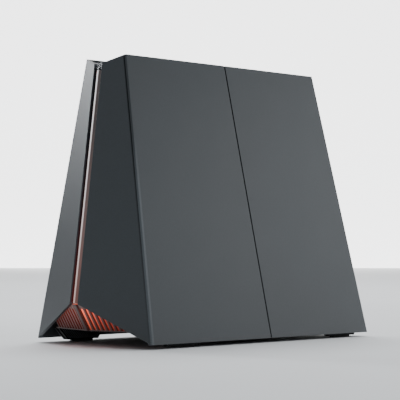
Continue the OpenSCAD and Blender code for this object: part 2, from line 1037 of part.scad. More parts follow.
module antenna_right_1() color(board_green) antenna(0);
module antenna_right_2() color(board_green) antenna(1);
module antenna_right_3() color(board_green) antenna(2);
module antenna_right_4() color(board_green) antenna(3);
module antenna_left_1() color(board_green) mirror([1, 0, 0]) antenna(0);
module antenna_left_2() color(board_green) mirror([1, 0, 0]) antenna(1);
module antenna_left_3() color(board_green) mirror([1, 0, 0]) antenna(2);
module antenna_left_4() color(board_green) mirror([1, 0, 0]) antenna(3);

// X of a point that lies d inwards from the right wing's face, at height z
function side_x_at(d, z) = body_w / 2 - side_slope * (z - hem_z) - d / cos(side_angle);

module antenna_lead(i) {
    inset = carrier_face + antenna_t + lead_r;
    start_z = hem_z + (antenna_s + 4) * cos(side_angle);
    start = [side_x_at(inset, start_z), antenna_y[i], start_z];
    corner = [side_x_at(inset + 1, lead_z), antenna_y[i], lead_z];
    finish = [side_x + 1.2, lead_board_y[i], lead_z];
    rod(start, corner - lead_r * unit(start - corner), lead_r, 8);
    rod(corner - lead_r * unit(finish - corner), finish, lead_r, 8);
    translate([side_x, lead_board_y[i], lead_z])
        rotate([0, 90, 0])
            cylinder(h = 1.6, r = 1.2);
}

module right_antenna_leads() color(rubber_black) for (i = [0:3]) antenna_lead(i);
module left_antenna_leads()
    color(rubber_black) mirror([1, 0, 0]) for (i = [0:3]) antenna_lead(i);

// ---- Fasteners ----

module base_screws() {
    color(steel_grey) both_sides()
        for (y = post_y)
            translate([49, y, floor_at(y)])
                mirror([0, 0, 1])
                    screw(3, 1.4, 1.4, 5.2);
}

module fan_screws() {
    color(steel_grey) both_sides()
        for (sy = [-1, 1])
            translate([fan_hole_pitch / 2, fan_y + sy * fan_hole_pitch / 2, fan_low + fan_h])
                screw(3.6, 2.2, 1.7, fan_low + fan_h - fan_screw_end);
}

module heat_sink_screws() {
    color(steel_grey) both_sides()
        for (p = sink_holes)
            translate([sink_base + sink_plate, p[0], p[1]])
                rotate([0, 90, 0])
                    screw(2.3, 1.8, 1.4, sink_base + sink_plate - 0.3);
}

module panel_screws() {
    color(steel_grey) both_sides()
        translate([panel_post_x, io_face, panel_post_z])
            rotate([-90, 0, 0])
                screw(3, 1.6, 1.3, 9);
}

right_front_shell();
left_front_shell();
right_rear_shell();
left_rear_shell();
right_carrier();
left_carrier();
base_tray();
foot_front_right();
foot_front_left();
foot_rear_right();
foot_rear_left();
front_grille();
glow_diffuser();
glow_board();
light_guide();
keel_channel();
keel_led_strip();
top_vent();
connector_panel();
rear_vent();
main_board();
button_board();
processor_chips();
radio_shields();
right_thermal_pads();
left_thermal_pads();
right_heat_sink();
left_heat_sink();
power_filter();
fan_frame();
fan_rotor();
lan_jacks();
fast_wan_jack();
fast_lan_jack();
sfp_cage();
usb_socket();
power_jack();
power_switch();
tact_switches();
power_button();
radio_button();
pairing_button();
light_button();
reset_button();
antenna_right_1();
antenna_right_2();
antenna_right_3();
antenna_right_4();
antenna_left_1();
antenna_left_2();
antenna_left_3();
antenna_left_4();
right_antenna_leads();
left_antenna_leads();
base_screws();
fan_screws();
heat_sink_screws();
panel_screws();
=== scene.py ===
import json
import math
import random

import bmesh
import bpy
from mathutils import Matrix, Vector


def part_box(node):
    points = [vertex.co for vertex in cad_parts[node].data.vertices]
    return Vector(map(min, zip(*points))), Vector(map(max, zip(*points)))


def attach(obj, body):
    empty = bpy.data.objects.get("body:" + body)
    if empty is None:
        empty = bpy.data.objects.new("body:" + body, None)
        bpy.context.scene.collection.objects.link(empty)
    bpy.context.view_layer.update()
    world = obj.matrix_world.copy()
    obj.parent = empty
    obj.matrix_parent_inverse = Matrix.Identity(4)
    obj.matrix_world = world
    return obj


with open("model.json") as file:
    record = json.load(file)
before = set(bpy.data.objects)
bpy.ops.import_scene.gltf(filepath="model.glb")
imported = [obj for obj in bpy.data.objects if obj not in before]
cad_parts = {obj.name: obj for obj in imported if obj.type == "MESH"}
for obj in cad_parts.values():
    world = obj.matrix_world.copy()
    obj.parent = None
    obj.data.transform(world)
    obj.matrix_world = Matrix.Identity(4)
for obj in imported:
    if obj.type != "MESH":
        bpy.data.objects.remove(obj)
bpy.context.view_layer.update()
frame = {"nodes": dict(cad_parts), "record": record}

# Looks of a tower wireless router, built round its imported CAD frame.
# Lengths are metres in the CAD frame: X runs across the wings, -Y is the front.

MM = 0.001
SLOT_COLOURS = {m["slot"]: m["base_color"] for m in frame["record"]["materials"]}

# Lean of the front's keel and the place of its foot, as in the CAD
FRONT_LEAN = math.radians(7.53)
KEEL_FOOT = Vector((0, -132.58 * MM, 0))
KEEL_FRAME = Matrix.Translation(KEEL_FOOT) @ Matrix.Rotation(-FRONT_LEAN, 4, "X")

# A wing's outer face: its distance from the middle at the table, and its slope
WING_REACH = 62.93 * MM
WING_SLOPE = 0.198
# Its front edge: Y at the table, and how far it rakes back per unit of height
WING_FRONT = -109.44 * MM
WING_RAKE = 0.0594
# The seam between its shells, in the same way
SEAM_FOOT = 13.73 * MM
SEAM_RAKE = 0.0407
# The band of painted shade beside the front faces' edges begins and is full this far inside
BAND_START = 2.2 * MM
BAND_FULL = 1.2 * MM
# The painted highlight, a pale line on the wings, is full and has ended this far behind the
# front edge
LINE_FULL = 2.2 * MM
LINE_END = 3.0 * MM


# ---- Shader helpers ----


def new_shader(name):
    """A material, its node tree and its Principled shader."""
    material = bpy.data.materials.new(name)
    material.use_nodes = True
    return material, material.node_tree, material.node_tree.nodes["Principled BSDF"]


def add(tree, kind, inputs=None, **settings):
    """A node with its settings and its unlinked input values."""
    made = tree.nodes.new(kind)
    for key, value in settings.items():
        setattr(made, key, value)
    for key, value in (inputs or {}).items():
        made.inputs[key].default_value = value
    return made


def place(tree):
    """The point on the object, in metres."""
    return add(tree, "ShaderNodeTexCoord").outputs["Object"]


def facing(tree):
    """The direction that the surface faces."""
    return add(tree, "ShaderNodeTexCoord").outputs["Normal"]


def axes(tree, vector):
    """A vector's X, Y and Z."""
    split = add(tree, "ShaderNodeSeparateXYZ")
    tree.links.new(vector, split.inputs["Vector"])
    return split.outputs


def remap(tree, value, limits):
    """A number taken from one range to another, clamped."""
    made = add(tree, "ShaderNodeMapRange", limits)
    tree.links.new(value, made.inputs["Value"])
    return made.outputs["Result"]


def magnitude(tree, value):
    """A number without its sign."""
    made = add(tree, "ShaderNodeMath", operation="ABSOLUTE")
    tree.links.new(value, made.inputs[0])
    return made.outputs["Value"]


def combine(tree, operation, first, second):
    """Two numbers put together, such as MULTIPLY or MAXIMUM."""
    made = add(tree, "ShaderNodeMath", operation=operation)
    tree.links.new(first, made.inputs[0])
    tree.links.new(second, made.inputs[1])
    return made.outputs["Value"]


def along_slope(tree, value, height, slope):
    """value + slope * height, which is constant along an edge with that slope."""
    made = add(tree, "ShaderNodeMath", {1: slope}, operation="MULTIPLY_ADD")
    tree.links.new(height, made.inputs[0])
    tree.links.new(value, made.inputs[2])
    return made.outputs["Value"]


def noise(tree, scale, detail=4.0, roughness=0.55):
    """Fractal noise over the object; scale counts its features per metre."""
    made = add(
        tree,
        "ShaderNodeTexNoise",
        {"Scale": scale, "Detail": detail, "Roughness": roughness},
    )
    tree.links.new(place(tree), made.inputs["Vector"])
    return made.outputs["Fac"]


def ramp(tree, source, stops):
    """Maps a number to colours given as (position, linear colour)."""
    made = add(tree, "ShaderNodeValToRGB")
    elements = made.color_ramp.elements
    while len(elements) < len(stops):
        elements.new(0.5)
    for element, (position, colour) in zip(elements, stops):
        element.position = position
        element.color = (*colour, 1)
    tree.links.new(source, made.inputs["Fac"])
    return made.outputs["Color"]


def scaled(colour, factor):
    """A colour made lighter or darker, at most white."""
    return tuple(min(1.0, c * factor) for c in colour)


def mottle(tree, shader, colour, scale, spread):
    """Slight tone variation about a colour, in patches of one size."""
    stops = [(0.35, scaled(colour, 1 - spread)), (0.65, scaled(colour, 1 + spread))]
    tree.links.new(ramp(tree, noise(tree, scale), stops), shader.inputs["Base Color"])


def vary_roughness(tree, shader, scale, low, high):
    """Roughness that drifts between two values."""
    drift = remap(tree, noise(tree, scale), {"To Min": low, "To Max": high})
    tree.links.new(drift, shader.inputs["Roughness"])


def bump(tree, shader, height, source, strength=1.0):
    """Relief of a height in metres, driven by a number from 0 to 1."""
    made = add(tree, "ShaderNodeBump", {"Strength": strength, "Distance": height})
    tree.links.new(source, made.inputs["Height"])
    tree.links.new(made.outputs["Normal"], shader.inputs["Normal"])


def axis_value(tree, axis, low, high, absolute=False):
    """0 at low and 1 at high along one axis of the frame, clamped."""
    value = axes(tree, place(tree))[axis]
    if absolute:
        value = magnitude(tree, value)
    return remap(tree, value, {"From Min": low, "From Max": high})


def product(tree, first, second):
    """Two colours multiplied."""
    made = add(tree, "ShaderNodeVectorMath", operation="MULTIPLY")
    tree.links.new(first, made.inputs[0])
    tree.links.new(second, made.inputs[1])
    return made.outputs["Vector"]


def facing_across(tree):
    """1 where the surface faces along X, either way, and 0 where it faces Y or Z."""
    return magnitude(tree, axes(tree, facing(tree))["X"])


def wing_edge(tree):
    """Where shade is painted: 1 on the top rims and, fading downwards, on the front faces
    beside their edges.
    """
    point = axes(tree, place(tree))
    normal = axes(tree, facing(tree))
    reach = along_slope(tree, magnitude(tree, point["X"]), point["Z"], WING_SLOPE)
    band = {"From Min": WING_REACH - BAND_START, "From Max": WING_REACH - BAND_FULL}
    near = remap(tree, reach, band)
    front = remap(tree, normal["Y"], {"From Min": -0.5, "From Max": -0.8})
    high = axis_value(tree, "Z", -30 * MM, 150 * MM)
    beside = combine(tree, "MULTIPLY", combine(tree, "MULTIPLY", near, front), high)
    rim = remap(tree, normal["Z"], {"From Min": 0.75, "From Max": 0.9})
    return combine(tree, "MAXIMUM", beside, rim)


def wing_line(tree):
    """Where a highlight is painted: 1 on a wing's outer face along its leaning front edge,
    fading out high up.
    """
    point = axes(tree, place(tree))
    setback = along_slope(tree, point["Y"], point["Z"], -WING_RAKE)
    line = {"From Min": WING_FRONT + LINE_END, "From Max": WING_FRONT + LINE_FULL}
    near = remap(tree, setback, line)
    outside = remap(tree, facing_across(tree), {"From Min": 0.6, "From Max": 0.8})
    low = axis_value(tree, "Z", 150 * MM, 110 * MM)
    return combine(tree, "MULTIPLY", combine(tree, "MULTIPLY", near, outside), low)


# ---- Materials ----


def shell_plastic(colour):
    """Painted shell with a very fine texture, painted shade on the front faces beside their
    edges and on the top rims, and a painted highlight as a pale line on the wings.
    """
    material, tree, shader = new_shader("shell_plastic")
    # Twice the colour, because the painted highlight's ramp halves it everywhere but on the
    # line
    pale = scaled(colour, 2.0)
    tone = ramp(
        tree, noise(tree, 900), [(0.35, scaled(pale, 0.95)), (0.65, scaled(pale, 1.05))]
    )
    # Painted shade: the shell is darkened beside the front faces' edges and on the top rims
    edge = wing_edge(tree)
    shade = ramp(tree, edge, [(0.0, (1.0, 1.0, 1.0)), (1.0, (0.12, 0.12, 0.12))])
    # Painted highlight: a pale line along each wing's leaning front edge
    painted_highlight = ramp(tree, wing_line(tree), [(0.0, (0.5, 0.5, 0.5)), (1.0, (1.0, 1.0, 1.0))])
    shaded = product(tree, product(tree, tone, shade), painted_highlight)
    tree.links.new(shaded, shader.inputs["Base Color"])
    sheen = remap(tree, edge, {"To Min": 0.5, "To Max": 0.05})
    tree.links.new(sheen, shader.inputs["Specular IOR Level"])
    vary_roughness(tree, shader, 60, 0.32, 0.38)
    bump(tree, shader, 0.03 * MM, noise(tree, 3500, 2.0), 0.35)
    return material


def inner_plastic(colour):
    """Black moulding with a coarser matte texture."""
    material, tree, shader = new_shader("inner_plastic")
    shader.inputs["Specular IOR Level"].default_value = 0.2
    mottle(tree, shader, colour, 500, 0.15)
    vary_roughness(tree, shader, 120, 0.5, 0.65)
    bump(tree, shader, 0.05 * MM, noise(tree, 2200, 3.0), 0.5)
    return material


def grille_plastic(colour):
    """Ribs with the red light behind them painted on as a glow, most near the top."""
    material, tree, shader = new_shader("grille_plastic")
    mottle(tree, shader, colour, 700, 0.1)
    # Painted light: the ribs glow with the red light behind them, more high up and redder on
    # their flanks, with painted shade beside the ridge
    painted_red_light = ramp(
        tree,
        axis_value(tree, "Z", 11 * MM, 29 * MM),
        [(0.0, (0.020, 0.013, 0.012)), (1.0, (0.10, 0.055, 0.050))],
    )
    painted_red_flanks = ramp(
        tree, facing_across(tree), [(0.4, (1.0, 1.0, 1.0)), (0.7, (1.1, 0.25, 0.15))]
    )
    painted_ridge_shade = ramp(
        tree,
        axis_value(tree, "X", 1.5 * MM, 2.0 * MM, absolute=True),
        [(0.0, (0.3, 0.25, 0.25)), (1.0, (1.0, 1.0, 1.0))],
    )
    lit = product(tree, product(tree, painted_red_light, painted_red_flanks), painted_ridge_shade)
    tree.links.new(lit, shader.inputs["Emission Color"])
    shader.inputs["Emission Strength"].default_value = 1.0
    vary_roughness(tree, shader, 200, 0.35, 0.45)
    bump(tree, shader, 0.02 * MM, noise(tree, 3000, 2.0), 0.4)
    return material


def red_glow(colour):
    """Translucent diffuser: brightest beside the ridge, fading outwards and down."""
    material, tree, shader = new_shader("red_glow")
    mottle(tree, shader, colour, 300, 0.06)
    shader.inputs["Roughness"].default_value = 0.35
    outwards = ramp(
        tree,
        axis_value(tree, "X", 0.0, 44 * MM, absolute=True),
        [(0.0, (1.0, 0.17, 0.09)), (0.3, (0.50, 0.06, 0.038)), (1.0, (0.07, 0.009, 0.008))],
    )
    down = ramp(
        tree,
        axis_value(tree, "Z", 11 * MM, 27 * MM),
        [(0.0, (0.10, 0.10, 0.10)), (0.5, (0.45, 0.45, 0.45)), (1.0, (1.0, 1.0, 1.0))],
    )
    tree.links.new(product(tree, outwards, down), shader.inputs["Emission Color"])
    shader.inputs["Emission Strength"].default_value = 2.0
    bump(tree, shader, 0.05 * MM, noise(tree, 900, 2.0), 0.4)
    return material


def guide_plastic(colour):
    """Milky light guide, cool white above and pink low down as painted red light from below,
    with painted shade on its flanks.
    """
    material, tree, shader = new_shader("guide_plastic")
    # Painted red light: pink low down, the tone of the red light below falling on the guide
    tone = ramp(
        tree,
        axis_value(tree, "Z", 35 * MM, 200 * MM),
        [(0.0, (0.45, 0.32, 0.30)), (0.4, (0.60, 0.54, 0.54)), (1.0, scaled(colour, 1.15))],
    )
    # Painted shade: faces that face across are darker, more so higher up
    height = axis_value(tree, "Z", 60 * MM, 160 * MM)
    rise = remap(tree, height, {"To Min": 0.5, "To Max": 1.0})
    painted_flank_shade = ramp(
        tree,
        combine(tree, "MULTIPLY", facing_across(tree), rise),
        [(0.25, (1.0, 1.0, 1.0)), (0.5, (0.34, 0.26, 0.25)), (1.0, (0.10, 0.09, 0.09))],
    )
    shaded = product(tree, tone, painted_flank_shade)
    for socket in ("Base Color", "Emission Color"):
        tree.links.new(shaded, shader.inputs[socket])
    shader.inputs["Emission Strength"].default_value = 0.8
    shader.inputs["Roughness"].default_value = 0.3
    shader.inputs["Subsurface Weight"].default_value = 0.2
    shader.inputs["Subsurface Scale"].default_value = 2 * MM
    bump(tree, shader, 0.03 * MM, noise(tree, 800, 2.0), 0.3)
    return material


def keel_plastic(colour):
    """The slot's black channel, with red light painted on as a glow low down."""
    material, tree, shader = new_shader("keel_plastic")
    mottle(tree, shader, colour, 500, 0.15)
    # Painted light: a red glow low down, where the red light below would fall on the channel
    painted_red_light = ramp(
        tree,
        axis_value(tree, "Z", 30 * MM, 150 * MM),
        [(0.0, (0.06, 0.005, 0.004)), (0.5, (0.012, 0.001, 0.001)), (1.0, (0.0, 0.0, 0.0))],
    )
    tree.links.new(painted_red_light, shader.inputs["Emission Color"])
    shader.inputs["Emission Strength"].default_value = 1.0
    shader.inputs["Roughness"].default_value = 0.55
    bump(tree, shader, 0.05 * MM, noise(tree, 2200, 3.0), 0.5)
    return material


def circuit_board(colour):
    """Solder mask over routed copper, seen as slightly raised paler tracks."""
    material, tree, shader = new_shader("circuit_board")
    cells = add(
        tree,
        "ShaderNodeTexVoronoi",
        {"Scale": 260.0},
        feature="DISTANCE_TO_EDGE",
        distance="EUCLIDEAN",
    )
    tree.links.new(place(tree), cells.inputs["Vector"])
    tracks = ramp(
        tree,
        cells.outputs["Distance"],
        [(0.0, (0.06, 0.20, 0.10)), (0.08, tuple(colour)), (0.5, scaled(colour, 0.8))],
    )
    tree.links.new(tracks, shader.inputs["Base Color"])
    shader.inputs["Coat Weight"].default_value = 0.4
    vary_roughness(tree, shader, 300, 0.3, 0.45)
    bump(tree, shader, 0.05 * MM, cells.outputs["Distance"], 0.3)
    return material


def chip_plastic(colour):
    """Black moulding compound with a gritty matte skin."""
    material, tree, shader = new_shader("chip_plastic")
    mottle(tree, shader, colour, 1500, 0.25)
    vary_roughness(tree, shader, 400, 0.55, 0.7)
    bump(tree, shader, 0.03 * MM, noise(tree, 4000, 4.0), 0.5)
    return material


def metal(name, colour, low, high, stretch):
    """Metal with fine drawing lines along the axis that is scaled least."""
    material, tree, shader = new_shader(name)
    shader.inputs["Metallic"].default_value = 1.0
    mottle(tree, shader, colour, 250, 0.07)
    vary_roughness(tree, shader, 150, low, high)
    mapping = add(tree, "ShaderNodeMapping", {"Scale": stretch})
    lines = add(tree, "ShaderNodeTexNoise", {"Scale": 900.0, "Detail": 3.0})
    tree.links.new(place(tree), mapping.inputs["Vector"])
    tree.links.new(mapping.outputs["Vector"], lines.inputs["Vector"])
    bump(tree, shader, 0.02 * MM, lines.outputs["Fac"], 0.4)
    return material


def plated_steel(colour):
    """Tin-plated sheet, drawn along Y."""
    return metal("plated_steel", colour, 0.25, 0.40, (1.0, 0.06, 1.0))


def sink_aluminium(colour):
    """Plain extruded aluminium, drawn along Z."""
    return metal("sink_aluminium", colour, 0.35, 0.50, (1.0, 1.0, 0.05))


def screw_steel(colour):
    """Blackened screws, without a drawing direction."""
    return metal("screw_steel", colour, 0.30, 0.45, (1.0, 1.0, 1.0))


def thermal_pad(colour):
    """Soft gap filler with a dimpled surface."""
    material, tree, shader = new_shader("thermal_pad")
    mottle(tree, shader, colour, 700, 0.12)
    shader.inputs["Roughness"].default_value = 0.8
    bump(tree, shader, 0.1 * MM, noise(tree, 1200, 2.0), 0.6)
    return material


def rubber(name, colour):
    """Dull rubber with a light, patchy bloom."""
    material, tree, shader = new_shader(name)
    mottle(tree, shader, colour, 400, 0.3)
    vary_roughness(tree, shader, 300, 0.7, 0.9)
    bump(tree, shader, 0.06 * MM, noise(tree, 1800, 3.0), 0.5)
    return material


def foot_rubber(colour):
    """The foot pads' rubber."""
    return rubber("foot_rubber", colour)


def cable_jacket(colour):
    """The antenna leads' thin black jacket."""
    return rubber("cable_jacket", colour)


def button_plastic(colour):
    """Satin button caps with patches that are a little shinier."""
    material, tree, shader = new_shader("button_plastic")
    mottle(tree, shader, colour, 800, 0.12)
    vary_roughness(tree, shader, 150, 0.3, 0.5)
    bump(tree, shader, 0.02 * MM, noise(tree, 3000, 2.0), 0.4)
    return material


def gold_contact():
    """Gold-plated contact wires."""
    material, tree, shader = new_shader("gold_contact")
    shader.inputs["Metallic"].default_value = 1.0
    mottle(tree, shader, (0.85, 0.60, 0.22), 600, 0.08)
    vary_roughness(tree, shader, 400, 0.2, 0.35)
    return material


def lens_plastic():
    """Small clear green status lenses."""
    material, tree, shader = new_shader("lens_plastic")
    mottle(tree, shader, (0.10, 0.42, 0.12), 500, 0.15)
    shader.inputs["Roughness"].default_value = 0.2
    shader.inputs["Emission Color"].default_value = (0.10, 0.60, 0.12, 1)
    shader.inputs["Emission Strength"].default_value = 0.25
    return material


def rib_plastic():
    """Ribs across the nose of the top vent: pale satin tops, and flanks painted black as
    shade.
    """
    material, tree, shader = new_shader("rib_plastic")
    # Painted shade: faces that face across are near black
    tone = ramp(
        tree, facing_across(tree), [(0.4, (0.58, 0.59, 0.61)), (0.6, (0.008, 0.008, 0.010))]
    )
    tree.links.new(tone, shader.inputs["Base Color"])
    vary_roughness(tree, shader, 200, 0.3, 0.4)
    bump(tree, shader, 0.02 * MM, noise(tree, 3000, 2.0), 0.4)
    return material


def foot_trim():
    """Dark grey satin trim on the foot blocks."""
    material, tree, shader = new_shader("foot_trim")
    mottle(tree, shader, (0.10, 0.11, 0.12), 800, 0.08)
    vary_roughness(tree, shader, 200, 0.35, 0.5)
    bump(tree, shader, 0.02 * MM, noise(tree, 3000, 2.0), 0.4)
    return material


MAKERS = [
    shell_plastic, inner_plastic, grille_plastic, red_glow, guide_plastic,
    circuit_board, chip_plastic, plated_steel, sink_aluminium, thermal_pad,
    cable_jacket, button_plastic, foot_rubber, screw_steel,
]


# ---- CAD nodes ----


def soften(obj, width, segments=2):
    """Joins a CAD node's flat faces and rounds its sharp edges a little."""
    weld = obj.modifiers.new("weld", "WELD")
    weld.merge_threshold = 0.002 * MM
    flat = obj.modifiers.new("flat", "DECIMATE")
    flat.decimate_type = "DISSOLVE"
    flat.angle_limit = math.radians(0.5)
    edges = obj.modifiers.new("edges", "BEVEL")
    edges.width = width
    edges.segments = segments
    edges.limit_method = "ANGLE"
    edges.angle_limit = math.radians(25)
    normals = obj.modifiers.new("normals", "WEIGHTED_NORMAL")
    normals.keep_sharp = True
    custom = obj.data.attributes.get("custom_normal")
    if custom:
        obj.data.attributes.remove(custom)
    obj.data.polygons.foreach_set("use_smooth", [True] * len(obj.data.polygons))


# Rounding of the edges by slot, in mm
EDGE_WIDTHS = {
    "shell_plastic": 0.25, "inner_plastic": 0.15, "grille_plastic": 0.15,
    "red_glow": 0.1, "guide_plastic": 0.3, "circuit_board": 0.1,
    "chip_plastic": 0.15, "plated_steel": 0.12, "sink_aluminium": 0.12,
    "thermal_pad": 0.2, "cable_jacket": 0.1, "button_plastic": 0.25,
    "foot_rubber": 0.4, "screw_steel": 0.1,
}


def dress_nodes():
    """Gives every CAD node its slot's material and softened edges."""
    made = {maker.__name__: maker(SLOT_COLOURS[maker.__name__]) for maker in MAKERS}
    keel = keel_plastic(SLOT_COLOURS["inner_plastic"])
    for part in frame["record"]["subparts"]:
        obj = frame["nodes"][part["node"]]
        name = part["material_slot"]
        obj.data.materials.clear()
        obj.data.materials.append(keel if part["node"] == "keel_channel" else made[name])
        soften(obj, EDGE_WIDTHS[name] * MM)
    return made


# ---- Added pieces ----


def bar(mesh, size, matrix):
    """Adds a box of a size to a bmesh, centred and turned by a matrix."""
    bmesh.ops.create_cube(mesh, size=1.0, matrix=matrix @ Matrix.Diagonal((*size, 1)))


def piece(name, mesh, material, edge):
    """Turns a bmesh into a bevelled piece that rides on the housing."""
    data = bpy.data.meshes.new(name)
    mesh.to_mesh(data)
    mesh.free()
    data.materials.append(material)
    data.polygons.foreach_set("use_smooth", [True] * len(data.polygons))
    obj = bpy.data.objects.new(name, data)
    bpy.context.scene.collection.objects.link(obj)
    rounding = obj.modifiers.new("rounding", "BEVEL")
    rounding.width = edge
    rounding.segments = 2
    normals = obj.modifiers.new("normals", "WEIGHTED_NORMAL")
    normals.keep_sharp = True
    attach(obj, "housing")
    return obj


def clip(mesh, limits):
    """Cuts a bmesh back to planes given as (point, outward normal)."""
    for point, normal in limits:
        geometry = mesh.verts[:] + mesh.edges[:] + mesh.faces[:]
        cut = bmesh.ops.bisect_plane(
            mesh, geom=geometry, plane_co=point, plane_no=normal, clear_outer=True
        )
        rim = [e for e in cut["geom_cut"] if isinstance(e, bmesh.types.BMEdge)]
        bmesh.ops.edgenet_fill(mesh, edges=rim)
    bmesh.ops.recalc_face_normals(mesh, faces=mesh.faces[:])


def merge(mesh, other):
    """Moves one bmesh into another."""
    data = bpy.data.meshes.new("merged")
    other.to_mesh(data)
    other.free()
    mesh.from_mesh(data)
    bpy.data.meshes.remove(data)


# The plate that closes the slot's top, from its lower to its upper end in the keel's frame
NOSE_FOOT = Vector((0, 2.1, 201.6)) * MM
NOSE_HEAD = Vector((0, 10.0, 207.7)) * MM
# Where its ribs lie, in mm, as left and right sides and low and high ends: the plate's
# own width, then the gap left of it, behind the shell's wall
NOSE_STRETCHES = ((-3.7, 3.7, 0.3, 11.0), (-12.0, -3.7, 5.4, 11.0))
# Ribs: slant, pitch and offset in mm, and their centre as a part of the plate's length
RIB_SLANT = math.radians(14)
RIB_PITCH = 4.1
RIB_OFFSET = 0.6
RIB_CENTRE = 0.45
RIB_WIDTH = 1.7 * MM
RIB_DEPTH = 2.2 * MM
BACKING_WIDTH = 40 * MM
BACKING_DEPTH = 0.6 * MM


def nose_ribs(black):
    """Slanting ribs over a black backing, on the plate that closes the slot's top."""
    foot, head = NOSE_FOOT, NOSE_HEAD
    along = (head - foot).normalized()
    out = Vector((0, -along.z, along.y))
    across = Vector((1, 0, 0))
    length = (head - foot).length
    direction = across * math.sin(RIB_SLANT) + along * math.cos(RIB_SLANT)
    side = across * math.cos(RIB_SLANT) - along * math.sin(RIB_SLANT)
    turn = Matrix((side, direction, out)).transposed().to_4x4()
    ribs, backing = bmesh.new(), bmesh.new()
    for left, right, low, high in NOSE_STRETCHES:
        limits = [
            (across * right * MM, across), (across * left * MM, -across),
            (foot + along * low * MM, -along), (foot + along * high * MM, along),
        ]
        bars = bmesh.new()
        for i in range(-6, 3):
            shift = side * (RIB_PITCH * i + RIB_OFFSET) * MM
            centre = foot + along * length * RIB_CENTRE + shift
            bar(bars, (RIB_WIDTH, 4 * length, RIB_DEPTH), Matrix.Translation(centre) @ turn)
        clip(bars, limits)
        merge(ribs, bars)
        slab = bmesh.new()
        flat = Matrix((across, along, out)).transposed().to_4x4()
        size = (BACKING_WIDTH, 4 * length, BACKING_DEPTH)
        bar(slab, size, Matrix.Translation(foot) @ flat)
        clip(slab, limits)
        merge(backing, slab)
    for mesh in (ribs, backing):
        mesh.transform(KEEL_FRAME)
    piece("nose_ribs", ribs, rib_plastic(), 0.12 * MM)
    piece("nose_backing", backing, black, 0.08 * MM)


# The foot blocks' tops over each pad, then their base, half length and half width, in mm
FOOT_TOPS = {
    "foot_front_right": 10.9, "foot_front_left": 10.9,
    "foot_rear_right": 5.0, "foot_rear_left": 5.0,
}
BLOCK_BASE = 1.4
BLOCK_HALF = 14.7
BLOCK_HALF_WIDTH = 2.6
MESH_PITCH = 2.0
MESH_WIRE = (0.5 * MM, 0.55 * MM, 20 * MM)
MESH_INSET = 1.0 * MM
MESH_TOP_GAP = 0.3 * MM
RIM_AHEAD = 0.6 * MM
RIM_ASIDE = 2.15 * MM


def foot_mesh():
    """Crossed bars that make a fine mesh on the inner side of each foot block."""
    mesh = bmesh.new()
    for node, top in FOOT_TOPS.items():
        low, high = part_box(node)
        centre = (low + high) / 2
        inwards = -1 if centre.x > 0 else 1
        face = centre.x + inwards * BLOCK_HALF_WIDTH * MM
        rise = (top - BLOCK_BASE) * MM
        bars = bmesh.new()
        for tilt in (-45, 45):
            for i in range(-15, 16):
                along = centre.y + i * MESH_PITCH * MM
                middle = Vector((face, along, (BLOCK_BASE + top) / 2 * MM))
                turn = Matrix.Rotation(math.radians(tilt), 4, "X")
                bar(bars, MESH_WIRE, Matrix.Translation(middle) @ turn)
        front = Vector((0, centre.y - BLOCK_HALF * MM + MESH_INSET, BLOCK_BASE * MM))
        rear = Vector((0, centre.y + BLOCK_HALF * MM - MESH_INSET, BLOCK_BASE * MM))
        # Both ends of a block spread as they rise, the front one more
        clip(bars, [
            (front, Vector((0, -1, -1)).normalized()),
            (rear, Vector((0, 1, -0.65)).normalized()),
            (Vector((0, 0, BLOCK_BASE * MM + MESH_INSET)), Vector((0, 0, -1))),
            (Vector((0, 0, BLOCK_BASE * MM + rise - MESH_TOP_GAP)), Vector((0, 0, 1))),
        ])
        merge(mesh, bars)
    return piece("foot_mesh", mesh, foot_trim(), 0.08 * MM)


def foot_rims():
    """Pale edges along the rims of the two front foot blocks."""
    mesh = bmesh.new()
    for node in ("foot_front_right", "foot_front_left"):
        low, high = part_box(node)
        centre = (low + high) / 2
        rise = (FOOT_TOPS[node] - BLOCK_BASE) * MM
        y = centre.y - BLOCK_HALF * MM - rise / 2 - RIM_AHEAD
        for side in (-1, 1):
            point = Vector((centre.x + side * RIM_ASIDE, y, BLOCK_BASE * MM + rise / 2))
            turn = Matrix.Rotation(math.radians(45), 4, "X")
            bar(mesh, (0.8 * MM, 0.5 * MM, rise * 1.3), Matrix.Translation(point) @ turn)
    return piece("foot_rims", mesh, foot_trim(), 0.1 * MM)


# Painted shade: black strips in each wing's seam darken it, as the shade in the gap and the
# black carriers behind it would
SEAM_STRIP_LOW = 5 * MM
SEAM_STRIP_HIGH = 205 * MM
# Web and flange as (depth under the wing's face, thickness, width), in mm
SEAM_STRIP_BARS = ((1.55, 1.9, 0.7), (2.75, 0.4, 3.0))


def seam_gaskets(black):
    """Black T-section strips in the seam between each wing's two shells, partly the black
    carriers behind it and partly painted shade for the gap.
    """
    low, high = SEAM_STRIP_LOW, SEAM_STRIP_HIGH
    rise = Vector((-WING_SLOPE, -SEAM_RAKE, 1))
    length = (high - low) * rise.length
    up = rise.normalized()
    out = Vector((1, 0, WING_SLOPE)).normalized()
    turn = Matrix((out, up.cross(out), up)).transposed().to_4x4()
    mesh = bmesh.new()
    for deep, thick, wide in SEAM_STRIP_BARS:
        z = (low + high) / 2
        middle = Vector((WING_REACH - WING_SLOPE * z, SEAM_FOOT - SEAM_RAKE * z, z))
        point = middle - out * deep * MM
        bar(mesh, (thick * MM, wide * MM, length), Matrix.Translation(point) @ turn)
    other = mesh.copy()
    other.transform(Matrix.Diagonal((-1, 1, 1, 1)))
    bmesh.ops.reverse_faces(other, faces=other.faces[:])
    merge(mesh, other)
    piece("seam_gaskets", mesh, black, 0.1 * MM)


